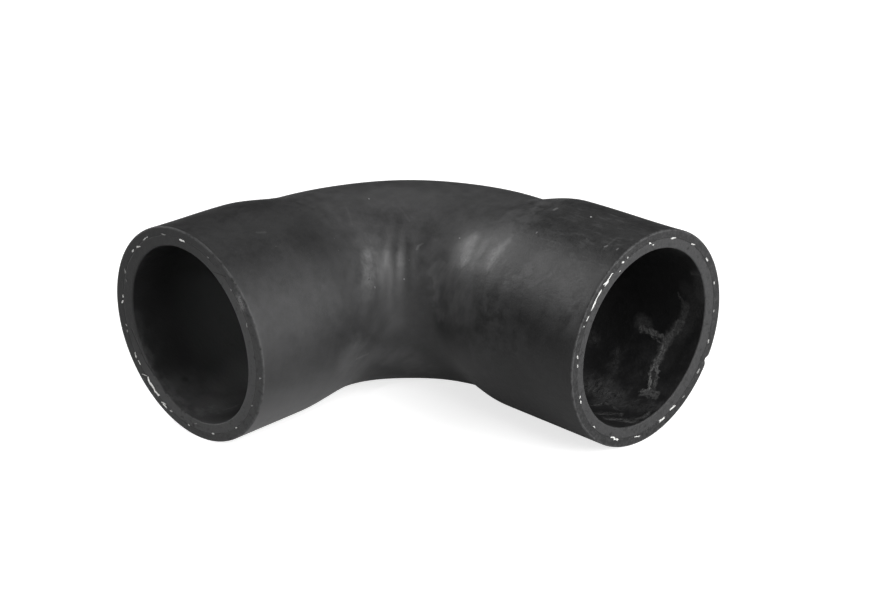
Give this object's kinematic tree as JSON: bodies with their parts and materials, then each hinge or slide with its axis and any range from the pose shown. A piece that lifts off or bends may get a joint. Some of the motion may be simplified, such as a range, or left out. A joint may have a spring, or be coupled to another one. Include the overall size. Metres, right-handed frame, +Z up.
{
  "type": "turbo hose",
  "caption": "Moulded rubber turbo hose: a thick-walled elbow with a slightly wider cuff at each end, trimmed flat.",
  "frame": {"origin": "bottom centre of the box around the hose as it lies on its side", "axes": "-Y towards the short cuff's mouth, whose leg runs along Y; +X the longest extent, towards the long cuff's mouth; +Z up, the shortest extent, square to the plane of the bend"},
  "size_m": [0.1342, 0.118, 0.0626],
  "materials": {
    "rubber": "matt black rubber with a thin grey bloom"
  },
  "bodies": {
    "root": {"hose": "rubber"}
  },
  "joints": []
}
